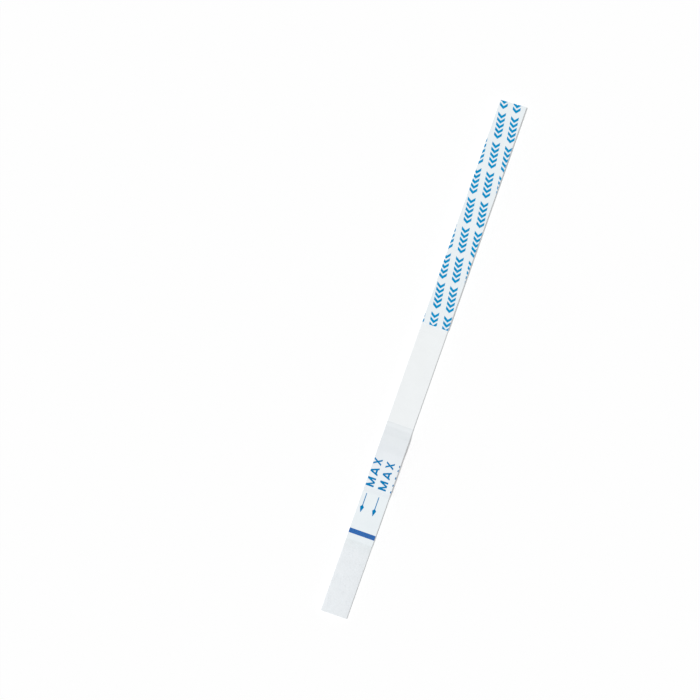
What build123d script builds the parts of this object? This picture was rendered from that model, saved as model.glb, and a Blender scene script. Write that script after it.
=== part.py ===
from build123d import *

import os
from math import ceil, hypot

# Lateral flow dip strip: pads and a membrane laminated on a plastic card, under two printed films.
# Millimetres. X runs from the dip end (-X) to the handle (+X), Y across the strip and Z up from the
# surface that the card lies on. The origin is the middle of the card's underside.
# Every layer is slit from one laminated sheet, so all of them share the strip's width.

# Zones along the strip, from the dip end to the handle
strip_width = 4.0
exposed_pad_length = 11.36  # bare sample pad, the part that is dipped
dip_film_length = 18.28  # film with the dip limit
window_length = 15.39  # bare membrane, where the result lines come up
handle_length = 34.97  # printed handle, along its longer edge
end_slant = 0.24  # the handle's end is cut a little askew, which leaves its other edge this much shorter

# Thicknesses, the last three where a pad is pressed over the layer below its end
card_thickness = 0.28
membrane_thickness = 0.20
conjugate_thickness = 0.25
sample_thickness = 0.24
film_thickness = 0.06
ink_thickness = 0.02
conjugate_pressed = 0.22
sample_pressed = 0.22
wick_pressed = 0.22

# Laps and bends, from the window back towards the dip end
landing_length = 0.5  # dip film stuck flat on the membrane
film_step_run = 0.8  # dip film coming down from the conjugate pad
conjugate_reveal = 0.8  # conjugate pad beyond the end of the sample pad
conjugate_lap = 1.8  # conjugate pad on the membrane
climb_run = 1.6  # pads climbing onto the membrane's end
conjugate_on_card = 5.3  # conjugate pad lying level on the card
lap_run = 1.0  # sample pad climbing onto the conjugate pad
wick_lap = 1.5  # absorbent pad on the membrane's other end
pad_loft = 0.03  # bare sample pad standing above its pressed part
loft_run = 1.0

# Dip limit: a line, and columns of an arrow under a word
line_margin = 0.90
line_breadth = 0.71
arrow_gap = 2.58
arrow_length = 2.99
arrow_head_length = 1.12
arrow_barb_length = 0.84
arrow_head_breadth = 0.60
arrow_shaft_breadth = 0.12
word_gap = 1.12
letter_height = 1.22
letter_stroke = 0.27
letter_space = 0.37
m_width = 1.35
a_width = 1.22
x_width = 1.0
crossbar_height = 0.30
column_margin = 0.66  # strip's edge to the middle of the first column
column_pitch = 1.90

# Handle print: slanting rows of groups of chevrons that point to the dip end
chevron_height = 1.15
chevron_depth = 0.50
chevron_stroke = 0.45
chevron_pitch = 0.76
chevrons_per_group = 5
group_pitch = 4.43
group_rise = 0.64  # each group stands this much higher across the strip than the one before it
row_pitch = 2.0
print_slant = 8.2  # degrees
print_margin = 3.87  # handle's end to the middle of the last whole group
print_offset = 0.85  # strip's middle to the middle of that group

# Stations along X
strip_length = exposed_pad_length + dip_film_length + window_length + handle_length
dip_end = -strip_length / 2
film_start = dip_end + exposed_pad_length
film_end = film_start + dip_film_length
handle_start = film_end + window_length
handle_end = handle_start + handle_length
landing_start = film_end - landing_length
conjugate_end = landing_start - film_step_run
sample_end = conjugate_end - conjugate_reveal
membrane_start = conjugate_end - conjugate_lap
climb_start = membrane_start - climb_run
conjugate_start = climb_start - conjugate_on_card
lap_start = conjugate_start - lap_run
membrane_end = handle_start + wick_lap

# The cut across the handle's end, through every layer there, which leaves the -Y edge the longer one
end_cut = Plane(origin=(handle_end, -strip_width / 2, 0), z_dir=(strip_width, end_slant, 0))

# Levels along Z
card_top = card_thickness
membrane_top = card_top + membrane_thickness
conjugate_top = card_top + conjugate_thickness
conjugate_crest = membrane_top + conjugate_pressed
sample_top = card_top + sample_thickness
sample_step = conjugate_top + sample_pressed
sample_crest = conjugate_crest + sample_pressed
wick_top = membrane_top + wick_pressed
handle_top = wick_top + film_thickness

# The dip film's underside, draped over the pads and down to the membrane
draped_line = [
    (film_start, sample_top),
    (lap_start, sample_top),
    (conjugate_start, sample_step),
    (climb_start, sample_step),
    (membrane_start, sample_crest),
    (sample_end, sample_crest),
    (conjugate_end, conjugate_crest),
    (landing_start, membrane_top),
    (film_end, membrane_top),
]


def raised(line, height):
    """The same line of (x, z) stations, lifted by a height."""
    return [(x, z + height) for x, z in line]


def layer_outline(underside, top):
    """The side outline of a layer, between two lines of (x, z) stations and two square-cut ends."""
    Polyline(*underside, *reversed(top), close=True)


def letter_bar(foot, head):
    """One straight stroke of a letter, from x = foot on the base line to x = head at the top."""
    half = letter_stroke / 2
    Polygon(
        (foot - half, 0),
        (foot + half, 0),
        (head + half, letter_height),
        (head - half, letter_height),
    )


def letter_m():
    """Two posts with a valley between them."""
    left = letter_stroke / 2
    right = m_width - left
    letter_bar(left, left)
    letter_bar(m_width / 2, left)
    letter_bar(m_width / 2, right)
    letter_bar(right, right)


def letter_a():
    """Two leaning strokes that meet at the top, and a crossbar."""
    left = letter_stroke / 2
    right = a_width - left
    letter_bar(left, a_width / 2)
    letter_bar(right, a_width / 2)
    share = crossbar_height / letter_height / 2
    inset = left + (right - left) * share
    with Locations((a_width / 2, crossbar_height)):
        Rectangle(a_width - 2 * inset, letter_stroke)


def letter_x():
    """Two strokes that cross."""
    left = letter_stroke / 2
    right = x_width - left
    letter_bar(left, right)
    letter_bar(right, left)


def arrow():
    """An arrow along X, with its tip at the local origin and a head that tapers back to its shaft."""
    head = arrow_head_breadth / 2
    shaft = arrow_shaft_breadth / 2
    Polygon(
        (0, 0),
        (arrow_barb_length, -head),
        (arrow_head_length, -shaft),
        (arrow_length, -shaft),
        (arrow_length, shaft),
        (arrow_head_length, shaft),
        (arrow_barb_length, head),
    )


def chevron():
    """An open angle that points to -X, with the middle of its box at the local origin."""
    half_length = (chevron_depth + chevron_stroke) / 2
    half_height = chevron_height / 2
    Polygon(
        (-half_length, 0),
        (half_length - chevron_stroke, -half_height),
        (half_length, -half_height),
        (chevron_stroke - half_length, 0),
        (half_length, half_height),
        (half_length - chevron_stroke, half_height),
    )


# Backing card, the full length of the strip
with BuildPart() as backing_card:
    with BuildSketch():
        Rectangle(strip_length, strip_width)
    extrude(amount=card_thickness)
    split(bisect_by=end_cut, keep=Keep.BOTTOM)
backing_card.part.label = "backing_card"

# Membrane, lapped by a pad at each end and bare in the window
with BuildPart() as membrane:
    with BuildSketch(Plane.XY.offset(card_top)):
        with Locations(((membrane_start + membrane_end) / 2, 0)):
            Rectangle(membrane_end - membrane_start, strip_width)
    extrude(amount=membrane_thickness)
membrane.part.label = "membrane"

# Conjugate pad, level on the card and then up onto the membrane's end
with BuildPart() as conjugate_pad:
    with BuildSketch(Plane.XZ):
        with BuildLine():
            layer_outline(
                underside=[
                    (conjugate_start, card_top),
                    (climb_start, card_top),
                    (membrane_start, membrane_top),
                    (conjugate_end, membrane_top),
                ],
                top=[
                    (conjugate_start, conjugate_top),
                    (climb_start, conjugate_top),
                    (membrane_start, conjugate_crest),
                    (conjugate_end, conjugate_crest),
                ],
            )
        make_face()
    extrude(amount=strip_width / 2, both=True)
conjugate_pad.part.label = "conjugate_pad"

# Sample pad, bare and lofty at the dip end, pressed under the film and over the conjugate pad
with BuildPart() as sample_pad:
    with BuildSketch(Plane.XZ):
        with BuildLine():
            layer_outline(
                underside=[
                    (dip_end, card_top),
                    (lap_start, card_top),
                    (conjugate_start, conjugate_top),
                    (climb_start, conjugate_top),
                    (membrane_start, conjugate_crest),
                    (sample_end, conjugate_crest),
                ],
                top=[
                    (dip_end, sample_top + pad_loft),
                    (film_start - loft_run, sample_top + pad_loft),
                    (film_start, sample_top),
                    (lap_start, sample_top),
                    (conjugate_start, sample_step),
                    (climb_start, sample_step),
                    (membrane_start, sample_crest),
                    (sample_end, sample_crest),
                ],
            )
        make_face()
    extrude(amount=strip_width / 2, both=True)
sample_pad.part.label = "sample_pad"

# Absorbent pad, flat on top and stepped over the membrane's other end
with BuildPart() as absorbent_pad:
    with BuildSketch(Plane.XZ):
        with BuildLine():
            layer_outline(
                underside=[
                    (handle_start, membrane_top),
                    (membrane_end, membrane_top),
                    (membrane_end + climb_run, card_top),
                    (handle_end, card_top),
                ],
                top=[(handle_start, wick_top), (handle_end, wick_top)],
            )
        make_face()
    extrude(amount=strip_width / 2, both=True)
    split(bisect_by=end_cut, keep=Keep.BOTTOM)
absorbent_pad.part.label = "absorbent_pad"

# Dip film, draped over both pads and stuck to the membrane
with BuildPart() as dip_film:
    with BuildSketch(Plane.XZ):
        with BuildLine():
            layer_outline(draped_line, raised(draped_line, film_thickness))
        make_face()
    extrude(amount=strip_width / 2, both=True)
dip_film.part.label = "dip_film"

# Handle film, flush with the absorbent pad under it
with BuildPart() as handle_film:
    with BuildSketch(Plane.XY.offset(wick_top)):
        with Locations(((handle_start + handle_end) / 2, 0)):
            Rectangle(handle_length, strip_width)
    extrude(amount=film_thickness)
    split(bisect_by=end_cut, keep=Keep.BOTTOM)
handle_film.part.label = "handle_film"

# The ink on the dip film: a coat over the whole film, cut back to each printed shape
film_line = raised(draped_line, film_thickness)
print_height = sample_crest + film_thickness + ink_thickness
line_start = film_start + line_margin
arrow_tip = line_start + line_breadth + arrow_gap
word_start = arrow_tip + arrow_length + word_gap
a_start = word_start + m_width + letter_space
x_start = a_start + a_width + letter_space
first_column = strip_width / 2 - column_margin
columns = ceil((strip_width - column_margin + letter_height / 2) / column_pitch)
column_places = [first_column - number * column_pitch for number in range(columns)]

with BuildPart() as ink_coat:
    with BuildSketch(Plane.XZ):
        with BuildLine():
            layer_outline(film_line, raised(film_line, ink_thickness))
        make_face()
    extrude(amount=strip_width / 2, both=True)

# Limit line, straight across the film
with BuildPart() as limit_line:
    with BuildSketch():
        with Locations((line_start + line_breadth / 2, 0)):
            Rectangle(line_breadth, strip_width)
    extrude(amount=print_height)
    add(ink_coat.part, mode=Mode.INTERSECT)
limit_line.part.label = "limit_line"

# Limit arrows, one to each column that has room for it
with BuildPart() as limit_arrows:
    with BuildSketch():
        for place in column_places:
            with Locations((arrow_tip, place)):
                arrow()
    extrude(amount=print_height)
    add(ink_coat.part, mode=Mode.INTERSECT)
limit_arrows.part.label = "limit_arrows"

# Limit lettering, where the slit edge cuts the last column off
with BuildPart() as limit_lettering:
    with BuildSketch():
        for place in column_places:
            base = place - letter_height / 2
            with Locations((word_start, base)):
                letter_m()
            with Locations((a_start, base)):
                letter_a()
            with Locations((x_start, base)):
                letter_x()
    extrude(amount=print_height)
    add(ink_coat.part, mode=Mode.INTERSECT)
limit_lettering.part.label = "limit_lettering"

# Handle print, whose slanting rows run off the film's edges and past its end, where one more group starts
group_length = (chevrons_per_group - 1) * chevron_pitch + chevron_depth + chevron_stroke
group_reach = hypot(group_length, chevron_height) / 2
groups = ceil(handle_length / group_pitch)
rows_each_way = ceil((strip_width + groups * group_rise) / row_pitch)
group_places = []
for group in range(-1, groups):
    x = handle_end - print_margin - group * group_pitch
    for row in range(-rows_each_way, rows_each_way + 1):
        y = print_offset - group * group_rise + row * row_pitch
        if abs(y) < strip_width / 2 + group_reach:
            group_places.append(Location((x, y), print_slant))

with BuildPart() as handle_print:
    with BuildSketch(Plane.XY.offset(handle_top)):
        with Locations(*group_places):
            with GridLocations(chevron_pitch, 1, chevrons_per_group, 1):
                chevron()
        with Locations(((handle_start + handle_end) / 2, 0)):
            Rectangle(handle_length, strip_width, mode=Mode.INTERSECT)
    extrude(amount=ink_thickness)
    split(bisect_by=end_cut, keep=Keep.BOTTOM)
handle_print.part.label = "handle_print"

pieces = [
    backing_card,
    membrane,
    conjugate_pad,
    sample_pad,
    absorbent_pad,
    dip_film,
    handle_film,
    limit_line,
    limit_arrows,
    limit_lettering,
    handle_print,
]
os.makedirs("parts", exist_ok=True)
for piece in pieces:
    export_step(piece.part, f"parts/{piece.part.label}.step")
print(f"strip {strip_length:.2f} x {strip_width:.2f} mm, membrane {membrane_end - membrane_start:.2f} mm")
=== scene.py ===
import math
from itertools import product

import bpy
import numpy as np
from mathutils import Matrix, Vector


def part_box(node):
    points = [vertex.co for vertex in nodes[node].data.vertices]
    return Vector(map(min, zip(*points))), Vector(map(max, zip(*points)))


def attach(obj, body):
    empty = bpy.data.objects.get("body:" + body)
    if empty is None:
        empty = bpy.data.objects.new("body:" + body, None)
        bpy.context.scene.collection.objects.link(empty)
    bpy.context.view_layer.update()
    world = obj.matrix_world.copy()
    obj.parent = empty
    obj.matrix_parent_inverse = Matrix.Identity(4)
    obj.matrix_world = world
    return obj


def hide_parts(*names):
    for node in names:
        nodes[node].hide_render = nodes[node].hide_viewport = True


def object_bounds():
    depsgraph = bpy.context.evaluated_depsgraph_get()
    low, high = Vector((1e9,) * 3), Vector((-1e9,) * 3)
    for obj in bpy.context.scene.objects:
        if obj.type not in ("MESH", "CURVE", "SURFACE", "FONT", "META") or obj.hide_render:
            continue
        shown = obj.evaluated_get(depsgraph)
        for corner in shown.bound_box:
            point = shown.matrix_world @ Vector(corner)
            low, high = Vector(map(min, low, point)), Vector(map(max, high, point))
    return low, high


# Dresses a lateral flow dip strip: soft pads and film, a finish for each layer, floor, light and camera.
# Metres. X runs from the dip end to the handle, Y across the strip and Z up from the floor.

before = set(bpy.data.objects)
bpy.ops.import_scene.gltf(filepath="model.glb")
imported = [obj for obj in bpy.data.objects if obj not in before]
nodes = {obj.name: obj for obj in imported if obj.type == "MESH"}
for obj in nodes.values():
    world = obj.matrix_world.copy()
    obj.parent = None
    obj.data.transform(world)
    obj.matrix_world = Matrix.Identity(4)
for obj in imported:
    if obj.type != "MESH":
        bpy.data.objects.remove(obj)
cad_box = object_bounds()
film_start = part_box("dip_film")[0].x
MM = 0.001
BODY = "root"

# Camera: the strip's two ends in the photograph, in pixels of a 700 x 700 picture, and the lens
PICTURE_SIZE = 700
HANDLE_END_PIXEL = (513.95, 102.6)
DIP_END_PIXEL = (333.65, 615.0)
LENS = 150.0
SENSOR = 36.0
CLIP_NEAR = 0.01
CLIP_FAR = 100.0

# Light: a key from the strip's left side, and an even surround, which add up to 1 on a level surface
KEY_FROM = (-0.15, 0.99)
KEY_ELEVATION = 74.0
KEY_SPREAD = 3.0
KEY_SHARE = 0.50
SURROUND_SHARE = 1 - KEY_SHARE

# Floor, which lies a hair below the card so that their faces don't meet
FLOOR_DROP = 0.02 * MM
FLOOR_HALF = 3.0

# Surface colours, as they look under plain white light, 0 to 255, except the tones below that are marked as
# painted light and painted shade
CARD_COLOUR = (236, 240, 242)
MEMBRANE_COLOUR = (239, 242, 243)
SAMPLE_COLOUR = (237, 241, 244)
# Painted shade: the sample pad's darker tone where it meets the dip film's edge
SAMPLE_PAINTED_SHADE_COLOUR = (232, 238, 240)
WICK_COLOUR = (232, 236, 238)
CONJUGATE_COLOUR = (190, 164, 177)
FILM_COLOUR = (230, 236, 239)
# Painted light: the dip film is painted lighter on its slopes, where it rises over the lap and onto the
# conjugate pad
LAP_FILM_PAINTED_LIGHT = (234, 239, 243)
RISING_FILM_PAINTED_LIGHT = (232, 238, 242)
LIFTED_FILM_COLOUR = (228, 232, 236)
RIDGE_FILM_COLOUR = (225, 229, 232)
# Painted light: the dip film is painted lighter where it steps down off the conjugate pad
STEP_FILM_PAINTED_LIGHT = (233, 237, 240)
LANDED_FILM_COLOUR = (226, 230, 232)
LINE_INK = (54, 106, 175)
LIMIT_INK = (0, 126, 184)
HANDLE_INK = (0, 146, 200)
FLOOR_COLOUR = (254, 254, 254)
WHITE = (255, 255, 255)

# Shades that a surface's own colour is multiplied by
WEAVE_SHADE = (250, 250, 250)
PAD_VEIL_SHADE = (252, 252, 252)
FILM_VEIL_SHADE = (252, 253, 253)

# Patterns: the range that most of a noise lies in, the fibre pads' strands and the blade's marks.
# Sizes are in millimetres and angles in degrees.
NOISE_LOW = 0.3
NOISE_HIGH = 0.7
STRAND_SIZE = (0.9, 0.05, 0.05)
STRAND_ANGLES = (12, 71, 133)
WEAVE_LOW = 0.42
WEAVE_HIGH = 0.72
BLADE_MARK_SIZE = (0.06, 0.06, 0.8)

# Fibre pads: mesh steps, ragged cut sides, and the loose top of the bare sample pad
PAD_STEP = 0.08 * MM
PAD_LAYERS = 4
HIDDEN_PAD_ACROSS = 0.32 * MM
BARE_PAD_ACROSS = 0.10 * MM
FRAY_SIZE = 0.16 * MM
FRAY_DEPTH = 0.03 * MM
TUFT_SIZE = 0.35 * MM
TUFT_DEPTH = 0.015 * MM
EDGE_RUN = 0.35 * MM
EDGE_DROOP = 0.04 * MM
BLADE_RUN = 1.15 * MM
BLADE_DROOP = 0.11 * MM
FADE_RUN = 1.0 * MM  # the loose top fades out this far before the film
# Painted shade: the sample pad is painted darker over this run before the film's edge
FILM_EDGE_SHADE_RUN = 1.8 * MM  # the pad turns duller over this run before the film

# Loose fibres that lie on the bare sample pad
FIBRE_COUNT = 400
FIBRE_STATIONS = 8
FEWEST_STATIONS = 3  # a fibre that the edge cuts shorter is left out
FIBRE_SIDES = 5
FIBRE_RADIUS = (0.005 * MM, 0.010 * MM)
FIBRE_LENGTH = (0.5 * MM, 1.7 * MM)
FIBRE_TURN = 1.1  # radians from end to end, at most
FIBRE_ARCH = 0.015 * MM
ARCH_BIAS = 3  # a power, which leaves most fibres nearly flat
FIBRE_TIP = 0.5  # share of the radius at a fibre's two tips

# Dip film: mesh steps, and the place of its lifted tone
FILM_STEP = 0.05 * MM
FILM_ACROSS = 0.4 * MM
LIFT_RUN = 2.0 * MM  # the lifted tone is reached this far before the membrane

# Random clouds: how many waves add up to one, and how far their lengths differ
CLOUD_WAVES = 24
CLOUD_SPREAD = (0.6, 1.4)

# Meshes
QUAD_CORNERS = ((0, 0), (1, 0), (1, 1), (0, 1))
SHARP_EDGE = math.radians(50)
LEVEL_FACE = 0.5  # a face whose normal rises or falls more than this is part of a top or an underside
STATION_DIGITS = 7  # decimals of a metre
SAME_PLACE = 0.001 * MM


def linear(colour):
    """A display colour, 0 to 255, as the linear RGBA that shaders take, by the sRGB curve."""
    channels = []
    for value in colour:
        share = value / 255
        if share <= 0.04045:
            channels.append(share / 12.92)
        else:
            channels.append(((share + 0.055) / 1.055) ** 2.4)
    return (*channels, 1.0)


def darker(colour, share):
    """The same display colour, made darker by a share of itself, or lighter where the share is negative."""
    return tuple(min(value * (1 - share), 255) for value in colour)


# Shader helpers


def add_node(tree, kind, **inputs):
    """A shader node with its sockets set: a value is written there, and a socket is linked."""
    node = tree.nodes.new(kind)
    for key, value in inputs.items():
        socket = node.inputs[key.replace("_", " ")]
        if isinstance(value, bpy.types.NodeSocket):
            tree.links.new(value, socket)
        else:
            socket.default_value = value
    return node


def new_material(name, roughness, specular):
    """A material with one shader, and the place on the object in millimetres."""
    material = bpy.data.materials.new(name)
    material.use_nodes = True
    tree = material.node_tree
    tree.nodes.clear()
    shader = add_node(tree, "ShaderNodeBsdfPrincipled", Roughness=roughness, Specular_IOR_Level=specular)
    output = tree.nodes.new("ShaderNodeOutputMaterial")
    tree.links.new(shader.outputs["BSDF"], output.inputs["Surface"])
    place = tree.nodes.new("ShaderNodeTexCoord").outputs["Object"]
    millimetres = tree.nodes.new("ShaderNodeVectorMath")
    millimetres.operation = "SCALE"
    millimetres.inputs["Scale"].default_value = 1 / MM
    tree.links.new(place, millimetres.inputs[0])
    return material, tree, shader, millimetres.outputs["Vector"]


def noise(tree, place, per_mm, detail=2.0):
    """Cloudy noise, with about this many blobs to a millimetre."""
    return add_node(tree, "ShaderNodeTexNoise", Vector=place, Scale=per_mm, Detail=detail).outputs["Fac"]


def stretched_noise(tree, place, angle, sizes):
    """Noise whose blobs have these sizes in millimetres, turned by an angle about the upright axis."""
    turn = (0, 0, math.radians(angle))
    turned = add_node(tree, "ShaderNodeMapping", Vector=place, Rotation=turn, Scale=sizes)
    turned.vector_type = "TEXTURE"
    return noise(tree, turned.outputs["Vector"], per_mm=1.0, detail=1.0)


def highest(tree, values):
    """The highest of several values."""
    result = values[0]
    for value in values[1:]:
        node = tree.nodes.new("ShaderNodeMath")
        node.operation = "MAXIMUM"
        tree.links.new(result, node.inputs[0])
        tree.links.new(value, node.inputs[1])
        result = node.outputs["Value"]
    return result


def ramp(tree, value, stops):
    """Turns a value into a colour, by (place, display colour) stops."""
    node = add_node(tree, "ShaderNodeValToRGB", Fac=value)
    elements = node.color_ramp.elements
    while len(elements) < len(stops):
        elements.new(1.0)
    for element, (place, colour) in zip(elements, stops):
        element.position = place
        element.color = linear(colour)
    return node.outputs["Color"]


def clouded(tree, value, first, second):
    """A colour between two, by a noise value."""
    return ramp(tree, value, [(NOISE_LOW, first), (NOISE_HIGH, second)])


def along_strip(tree, place, tones):
    """Colours along the strip, by (x in metres, display colour) tones."""
    start, end = tones[0][0], tones[-1][0]
    along = add_node(tree, "ShaderNodeSeparateXYZ", Vector=place).outputs["X"]
    share = add_node(tree, "ShaderNodeMapRange", Value=along, From_Min=start / MM, From_Max=end / MM)
    stops = [((x - start) / (end - start), colour) for x, colour in tones]
    return ramp(tree, share.outputs["Result"], stops)


def multiply(tree, first, second):
    """One colour times another."""
    node = tree.nodes.new("ShaderNodeMix")
    node.data_type = "RGBA"
    node.blend_type = "MULTIPLY"
    # The colour sockets share their names with the node's other sockets, so they go by number
    factor, tint, shade = node.inputs[0], node.inputs[6], node.inputs[7]
    product_colour = node.outputs[2]
    factor.default_value = 1.0
    tree.links.new(first, tint)
    tree.links.new(second, shade)
    return product_colour


def spread(tree, value, low, high):
    """A noise value, spread from low to high."""
    limits = {"From_Min": NOISE_LOW, "From_Max": NOISE_HIGH, "To_Min": low, "To_Max": high}
    return add_node(tree, "ShaderNodeMapRange", Value=value, **limits).outputs["Result"]


def relief(tree, shader, height, depth):
    """Relief on the surface, this deep in metres."""
    node = add_node(tree, "ShaderNodeBump", Height=height, Distance=depth)
    tree.links.new(node.outputs["Normal"], shader.inputs["Normal"])


# Materials


def fibre_material(name, tones):
    """A soft pad of short fibres: tones along the strip, with crossing strands and a faint cloudiness."""
    material, tree, shader, place = new_material(name, roughness=0.92, specular=0.25)
    strands = highest(tree, [stretched_noise(tree, place, angle, STRAND_SIZE) for angle in STRAND_ANGLES])
    weave = ramp(tree, strands, [(WEAVE_LOW, WEAVE_SHADE), (WEAVE_HIGH, WHITE)])
    veil = clouded(tree, noise(tree, place, per_mm=0.9), PAD_VEIL_SHADE, WHITE)
    tone = multiply(tree, along_strip(tree, place, tones), weave)
    tree.links.new(multiply(tree, tone, veil), shader.inputs["Base Color"])
    relief(tree, shader, strands, depth=0.012 * MM)
    return material


def film_material(name, tones):
    """A thin satin film: tones along the strip, gentle clouds, and a fine grain."""
    material, tree, shader, place = new_material(name, roughness=0.45, specular=0.4)
    tone = along_strip(tree, place, tones)
    veil = clouded(tree, noise(tree, place, per_mm=0.6), FILM_VEIL_SHADE, WHITE)
    gloss = spread(tree, noise(tree, place, per_mm=2.5), low=0.39, high=0.51)
    tree.links.new(multiply(tree, tone, veil), shader.inputs["Base Color"])
    tree.links.new(gloss, shader.inputs["Roughness"])
    relief(tree, shader, noise(tree, place, per_mm=9.0, detail=3.0), depth=0.003 * MM)
    return material


def membrane_material(name, colour):
    """A porous membrane: dull, all but even, with the finest grain."""
    material, tree, shader, place = new_material(name, roughness=0.85, specular=0.5)
    tone = clouded(tree, noise(tree, place, per_mm=0.5), darker(colour, share=0.008), colour)
    gloss = spread(tree, noise(tree, place, per_mm=3.0), low=0.80, high=0.90)
    tree.links.new(tone, shader.inputs["Base Color"])
    tree.links.new(gloss, shader.inputs["Roughness"])
    relief(tree, shader, noise(tree, place, per_mm=24.0, detail=3.0), depth=0.004 * MM)
    return material


def card_material(name, colour):
    """White plastic sheet: a satin face, and upright marks of the blade on its slit edges."""
    material, tree, shader, place = new_material(name, roughness=0.45, specular=0.5)
    blade = stretched_noise(tree, place, angle=0, sizes=BLADE_MARK_SIZE)
    tone = clouded(tree, blade, darker(colour, share=0.035), colour)
    gloss = spread(tree, noise(tree, place, per_mm=3.0), low=0.40, high=0.50)
    tree.links.new(tone, shader.inputs["Base Color"])
    tree.links.new(gloss, shader.inputs["Roughness"])
    relief(tree, shader, blade, depth=0.006 * MM)
    return material


def ink_material(name, colour):
    """Printed ink: dull, with an uneven cover in fine specks."""
    material, tree, shader, place = new_material(name, roughness=0.6, specular=0.03)
    cover = noise(tree, place, per_mm=7.0, detail=4.0)
    tone = clouded(tree, cover, darker(colour, share=0.10), darker(colour, share=-0.08))
    tree.links.new(tone, shader.inputs["Base Color"])
    relief(tree, shader, cover, depth=0.004 * MM)
    return material


# Shapes


def section(node):
    """The (x, z) stations of a CAD layer's top and of its underside, sorted along the strip."""
    mesh = nodes[node].data
    lines = []
    for up in (1, -1):
        stations = set()
        for face in mesh.polygons:
            if face.normal.z * up > LEVEL_FACE:
                for index in face.vertices:
                    corner = mesh.vertices[index].co
                    stations.add((round(corner.x, STATION_DIGITS), round(corner.z, STATION_DIGITS)))
        lines.append(sorted(stations))
    return lines


def smooth(share):
    """A share, clipped to 0 to 1, that starts and ends softly."""
    share = np.clip(share, 0, 1)
    return share * share * (3 - 2 * share)


def level(stations, x):
    """The height over x of a layer that bends softly between its (x, z) stations."""
    result = np.full_like(x, stations[0][1])
    for (x0, z0), (x1, z1) in zip(stations, stations[1:]):
        result += (z1 - z0) * smooth((x - x0) / (x1 - x0))
    return result


def cloud(seed, size, *places):
    """Smooth random values from 0 to 1 at places in metres, with blobs of about this size."""
    random = np.random.RandomState(seed)
    total = np.zeros_like(places[0])
    for _ in range(CLOUD_WAVES):
        direction = random.normal(size=3)
        direction *= 2 * math.pi / (size * np.linalg.norm(direction)) * random.uniform(*CLOUD_SPREAD)
        phase = random.uniform(0, 2 * math.pi)
        total += np.sin(sum(step * place for step, place in zip(direction, places)) + phase)
    return np.clip(0.5 + total / math.sqrt(CLOUD_WAVES) / 2, 0, 1)


def spaced(start, end, step):
    """Even places from start to end, about a step apart."""
    return np.linspace(start, end, max(2, round((end - start) / step) + 1))


def handle_side_end(node, y):
    """Where a node ends on its handle side, at places across the strip, as its end may be cut askew."""
    low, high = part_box(node)
    corners = [vertex.co for vertex in nodes[node].data.vertices]
    ends = []
    for side in (low.y, high.y):
        ends.append(max(corner.x for corner in corners if abs(corner.y - side) < SAME_PLACE))
    return np.interp(y, (low.y, high.y), ends)


def lattice(node, along, across):
    """A grid of (x, y) places over a node, about so far apart along and across the strip."""
    low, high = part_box(node)
    x, y = np.meshgrid(spaced(low.x, high.x, along), spaced(low.y, high.y, across), indexing="ij")
    reach = (handle_side_end(node, y) - low.x) / (high.x - low.x)
    return low.x + (x - low.x) * reach, y


def block_skin(x, y, underside, top, layers):
    """The skin of a block between two heights over a grid: points, faces, and each point's way out."""
    counts = (*x.shape, layers + 1)
    numbers = {}
    points = []
    outward = []

    def number(key):
        """The number of the point at an (i, j, k) place, which is made when it is first asked for."""
        if key not in numbers:
            numbers[key] = len(points)
            i, j, k = key
            share = k / layers
            points.append((x[i, j], y[i, j], underside[i, j] * (1 - share) + top[i, j] * share))
            outward.append([(place == count - 1) - (place == 0) for place, count in zip(key, counts)])
        return numbers[key]

    faces = []
    for axis in range(3):
        first, second = [other for other in range(3) if other != axis]
        for end in (0, counts[axis] - 1):
            for a, b in product(range(counts[first] - 1), range(counts[second] - 1)):
                quad = []
                for da, db in QUAD_CORNERS:
                    key = [end, end, end]
                    key[first] = a + da
                    key[second] = b + db
                    quad.append(number(tuple(key)))
                # Turned round where it would look inwards
                if (end == 0) == (axis != 1):
                    quad.reverse()
                faces.append(quad)
    return np.array(points), faces, np.array(outward, float)


def pressed(distance, run, depth):
    """How deep a cut presses a pad down, at a distance from the cut."""
    return depth * np.clip(1 - distance / run, 0, 1) ** 2


def fray(points, outward, seed):
    """Pulls a pad's cut sides in by a ragged depth."""
    depth = FRAY_DEPTH * cloud(seed, FRAY_SIZE, *points.T)
    points[:, :2] -= outward[:, :2] * depth[:, None]


def fibre(path, radius):
    """The points and faces of a round closed fibre along a path, thinner at its two tips."""
    along = np.gradient(path, axis=0)
    along /= np.linalg.norm(along, axis=1)[:, None]
    aside = np.cross(along, (0, 0, 1))
    aside /= np.linalg.norm(aside, axis=1)[:, None]
    over = np.cross(aside, along)
    last = len(path) - 1
    points = []
    faces = []
    for station, middle in enumerate(path):
        reach = radius * (FIBRE_TIP if station in (0, last) else 1)
        for side in range(FIBRE_SIDES):
            turn = 2 * math.pi * side / FIBRE_SIDES
            outward = math.cos(turn) * aside[station] + math.sin(turn) * over[station]
            points.append(middle + reach * outward)
            if station < last:
                here = station * FIBRE_SIDES + side
                beside = station * FIBRE_SIDES + (side + 1) % FIBRE_SIDES
                faces.append([here, here + FIBRE_SIDES, beside + FIBRE_SIDES, beside])
    faces.append(list(range(FIBRE_SIDES)))
    faces.append([last * FIBRE_SIDES + side for side in reversed(range(FIBRE_SIDES))])
    return np.array(points), faces


def fibre_path(random, low, high, top):
    """A random curved path on a surface, cut off where it leaves the area from low to high."""
    steps = np.linspace(0, 1, FIBRE_STATIONS)
    stride = random.uniform(*FIBRE_LENGTH) / (FIBRE_STATIONS - 1)
    heading = random.uniform(0, 2 * math.pi) + random.uniform(-FIBRE_TURN, FIBRE_TURN) * steps
    x = random.uniform(low[0], high[0]) + np.cumsum(stride * np.cos(heading))
    y = random.uniform(low[1], high[1]) + np.cumsum(stride * np.sin(heading))
    arch = FIBRE_ARCH * random.uniform() ** ARCH_BIAS * np.sin(math.pi * steps)
    inside = (x > low[0]) & (x < high[0]) & (y > low[1]) & (y < high[1])
    kept = FIBRE_STATIONS if inside.all() else int(np.argmin(inside))
    return np.stack([x, y, top(x, y) + arch], axis=1)[:kept]


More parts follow.
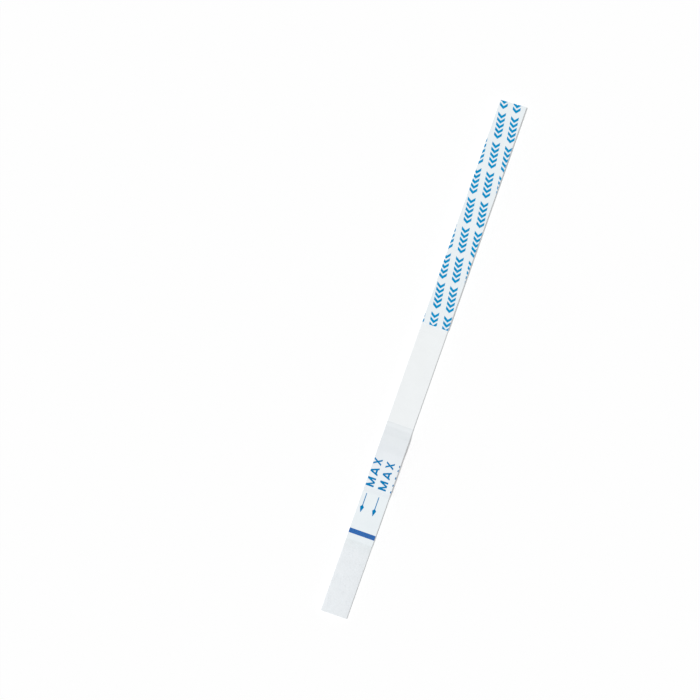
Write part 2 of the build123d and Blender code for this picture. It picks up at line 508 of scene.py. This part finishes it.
def loose_fibres(seed, low, high, top):
    """The points and faces of random fibres that lie on a surface, in the area from low to high."""
    random = np.random.RandomState(seed)
    all_points = []
    all_faces = []
    count = 0
    for _ in range(FIBRE_COUNT):
        radius = random.uniform(*FIBRE_RADIUS)
        near = (low[0] + radius, low[1] + radius)
        far = (high[0] - radius, high[1] - radius)
        path = fibre_path(random, near, far, top)
        if len(path) >= FEWEST_STATIONS:
            points, faces = fibre(path, radius)
            all_points.append(points)
            all_faces += [[count + index for index in face] for face in faces]
            count += len(points)
    return np.concatenate(all_points), all_faces


def new_piece(name, points, faces, material, replaced):
    """A mesh piece that rides on the strip and stands for a CAD node."""
    mesh = bpy.data.meshes.new(name)
    mesh.from_pydata([tuple(point) for point in points], [], faces)
    mesh.validate()
    mesh.materials.append(material)
    mesh.shade_smooth()
    mesh.set_sharp_from_angle(angle=SHARP_EDGE)
    piece = bpy.data.objects.new(name, mesh)
    bpy.context.scene.collection.objects.link(piece)
    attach(piece, BODY)
    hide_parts(replaced)


# Tones along the strip


def even(node, colour):
    """One tone from a node's start to its end."""
    low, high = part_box(node)
    return [(low.x, colour), (high.x, colour)]


def sample_tones():
    """The sample pad's tones: painted darker towards the film's edge, which is painted shade beside the
    film.
    """
    low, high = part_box("sample_pad")
    return [
        (low.x, SAMPLE_COLOUR),
        (film_start - FILM_EDGE_SHADE_RUN, SAMPLE_COLOUR),
        # Painted shade at the film's edge
        (film_start, SAMPLE_PAINTED_SHADE_COLOUR),
        (high.x, SAMPLE_PAINTED_SHADE_COLOUR),
    ]


def dip_film_tones():
    """The dip film's tones: painted lighter on its way up and down, which is painted light on its slopes,
    and duller over the ridge and where it lands.
    """
    low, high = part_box("dip_film")
    conjugate_low, conjugate_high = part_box("conjugate_pad")
    film_top, _ = section("dip_film")
    first_bend, _ = film_top[1]
    return [
        (low.x, FILM_COLOUR),
        (first_bend, FILM_COLOUR),
        # Painted light on the film's slopes, up and then down
        ((first_bend + conjugate_low.x) / 2, LAP_FILM_PAINTED_LIGHT),
        (conjugate_low.x, RISING_FILM_PAINTED_LIGHT),
        (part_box("membrane")[0].x - LIFT_RUN, LIFTED_FILM_COLOUR),
        (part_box("sample_pad")[1].x, RIDGE_FILM_COLOUR),
        (conjugate_high.x, STEP_FILM_PAINTED_LIGHT),
        (high.x, LANDED_FILM_COLOUR),
    ]


# Pieces


def paint(node, material):
    """Gives a CAD node its material."""
    mesh = nodes[node].data
    mesh.materials.clear()
    mesh.materials.append(material)


def hidden_pad(node, slot, colour, seed):
    """A fibre pad that shows only its cut sides."""
    x, y = lattice(node, PAD_STEP, HIDDEN_PAD_ACROSS)
    top, underside = section(node)
    points, faces, outward = block_skin(x, y, level(underside, x), level(top, x), PAD_LAYERS)
    fray(points, outward, seed)
    material = fibre_material(slot, even(node, colour))
    new_piece(f"{node}_fibre", points, faces, material, node)


def sample_pad(seed):
    """The sample pad: its bare end has a tufted top, edges that the cuts press down, and loose fibres."""
    low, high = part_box("sample_pad")
    top_line, underside_line = section("sample_pad")

    def top(x, y):
        """The height of the pad's top, which is loose only on the bare end."""
        blade_side = pressed(y - low.y, BLADE_RUN, BLADE_DROOP)
        other_sides = pressed(np.minimum(high.y - y, x - low.x), EDGE_RUN, EDGE_DROOP)
        tufts = TUFT_DEPTH * cloud(seed, TUFT_SIZE, x, y)
        bare = smooth((film_start - x) / FADE_RUN)
        return level(top_line, x) - (blade_side + other_sides + tufts) * bare

    x, y = lattice("sample_pad", PAD_STEP, BARE_PAD_ACROSS)
    points, faces, outward = block_skin(x, y, level(underside_line, x), top(x, y), PAD_LAYERS)
    fray(points, outward, seed + 1)
    fibre_points, fibre_faces = loose_fibres(seed + 2, (low.x, low.y), (film_start, high.y), top)
    faces += [[len(points) + index for index in face] for face in fibre_faces]
    points = np.concatenate([points, fibre_points])
    material = fibre_material("sample_fibre", sample_tones())
    new_piece("sample_pad_fibre", points, faces, material, "sample_pad")


def dip_film_sheet():
    """The dip film as one sheet that bends softly over the pads."""
    x, y = lattice("dip_film", FILM_STEP, FILM_ACROSS)
    top, underside = section("dip_film")
    points, faces, _ = block_skin(x, y, level(underside, x), level(top, x), layers=1)
    material = film_material("dip_film", dip_film_tones())
    new_piece("dip_film_sheet", points, faces, material, "dip_film")


# The strip: nodes that keep their shape, then the soft pieces
limit_ink = ink_material("limit_ink", LIMIT_INK)
paint("backing_card", card_material("card_plastic", CARD_COLOUR))
paint("membrane", membrane_material("membrane_sheet", MEMBRANE_COLOUR))
paint("handle_film", film_material("handle_film", even("handle_film", FILM_COLOUR)))
paint("limit_line", ink_material("line_ink", LINE_INK))
paint("limit_arrows", limit_ink)
paint("limit_lettering", limit_ink)
paint("handle_print", ink_material("handle_ink", HANDLE_INK))
dip_film_sheet()
sample_pad(seed=11)
hidden_pad("conjugate_pad", "conjugate_fibre", CONJUGATE_COLOUR, seed=23)
hidden_pad("absorbent_pad", "wick_fibre", WICK_COLOUR, seed=37)

# Floor
floor_corners = []
for a, b in QUAD_CORNERS:
    floor_corners.append((FLOOR_HALF * (2 * a - 1), FLOOR_HALF * (2 * b - 1), -FLOOR_DROP))
floor_mesh = bpy.data.meshes.new("floor")
floor_mesh.from_pydata(floor_corners, [], [(0, 1, 2, 3)])
floor = bpy.data.objects.new("floor", floor_mesh)
bpy.context.scene.collection.objects.link(floor)
floor_material = bpy.data.materials.new("floor")
floor_material.use_nodes = True
floor_shader = floor_material.node_tree.nodes["Principled BSDF"]
floor_shader.inputs["Base Color"].default_value = linear(FLOOR_COLOUR)
floor_shader.inputs["Roughness"].default_value = 1.0
floor_shader.inputs["Specular IOR Level"].default_value = 0.0
floor_mesh.materials.append(floor_material)

# Surround: even light, which shows as white where it is seen or mirrored
world = bpy.data.worlds.new("surround")
bpy.context.scene.world = world
world.use_nodes = True
world_tree = world.node_tree
world_tree.nodes.clear()
rays = world_tree.nodes.new("ShaderNodeLightPath").outputs
seen = highest(world_tree, [rays["Is Camera Ray"], rays["Is Glossy Ray"], rays["Is Transmission Ray"]])
strength = add_node(world_tree, "ShaderNodeMapRange", Value=seen, To_Min=SURROUND_SHARE, To_Max=1.0)
background = add_node(world_tree, "ShaderNodeBackground", Strength=strength.outputs["Result"])
background.inputs["Color"].default_value = linear(WHITE)
world_output = world_tree.nodes.new("ShaderNodeOutputWorld")
world_tree.links.new(background.outputs["Background"], world_output.inputs["Surface"])

# Key light: its strength lights a level white surface to its share
elevation = math.radians(KEY_ELEVATION)
flat = Vector((*KEY_FROM, 0)).normalized() * math.cos(elevation)
to_key = Vector((flat.x, flat.y, math.sin(elevation)))
key = bpy.data.objects.new("key", bpy.data.lights.new("key", "SUN"))
key.data.energy = KEY_SHARE * math.pi / math.sin(elevation)
key.data.angle = math.radians(KEY_SPREAD)
key.rotation_mode = "QUATERNION"
key.rotation_quaternion = to_key.to_track_quat("Z", "Y")
bpy.context.scene.collection.objects.link(key)

# Camera: straight down, with the strip's ends at their pixels in the photograph
strip_low, strip_high = cad_box
strip_length = strip_high.x - strip_low.x
handle_pixel = Vector(HANDLE_END_PIXEL)
dip_pixel = Vector(DIP_END_PIXEL)
run = handle_pixel - dip_pixel
metres_per_pixel = strip_length / run.length
tilt = math.atan2(run.x, -run.y)
right = Vector((math.sin(tilt), -math.cos(tilt), 0))
up = Vector((math.cos(tilt), math.sin(tilt), 0))
offset = (handle_pixel + dip_pixel) / 2 - Vector((PICTURE_SIZE / 2, PICTURE_SIZE / 2))
strip_middle = Vector(((strip_low.x + strip_high.x) / 2, (strip_low.y + strip_high.y) / 2, strip_high.z))
below_camera = strip_middle - right * offset.x * metres_per_pixel + up * offset.y * metres_per_pixel
distance = PICTURE_SIZE * metres_per_pixel * LENS / SENSOR
camera = bpy.data.objects.new("camera", bpy.data.cameras.new("camera"))
camera.data.lens = LENS
camera.data.sensor_width = SENSOR
camera.data.clip_start = CLIP_NEAR
camera.data.clip_end = CLIP_FAR
turned = Matrix((right, up, (0, 0, 1))).transposed().to_4x4()
camera.matrix_world = Matrix.Translation(below_camera + Vector((0, 0, distance))) @ turned
bpy.context.scene.collection.objects.link(camera)
bpy.context.scene.camera = camera
bpy.context.scene.view_settings.view_transform = "Standard"
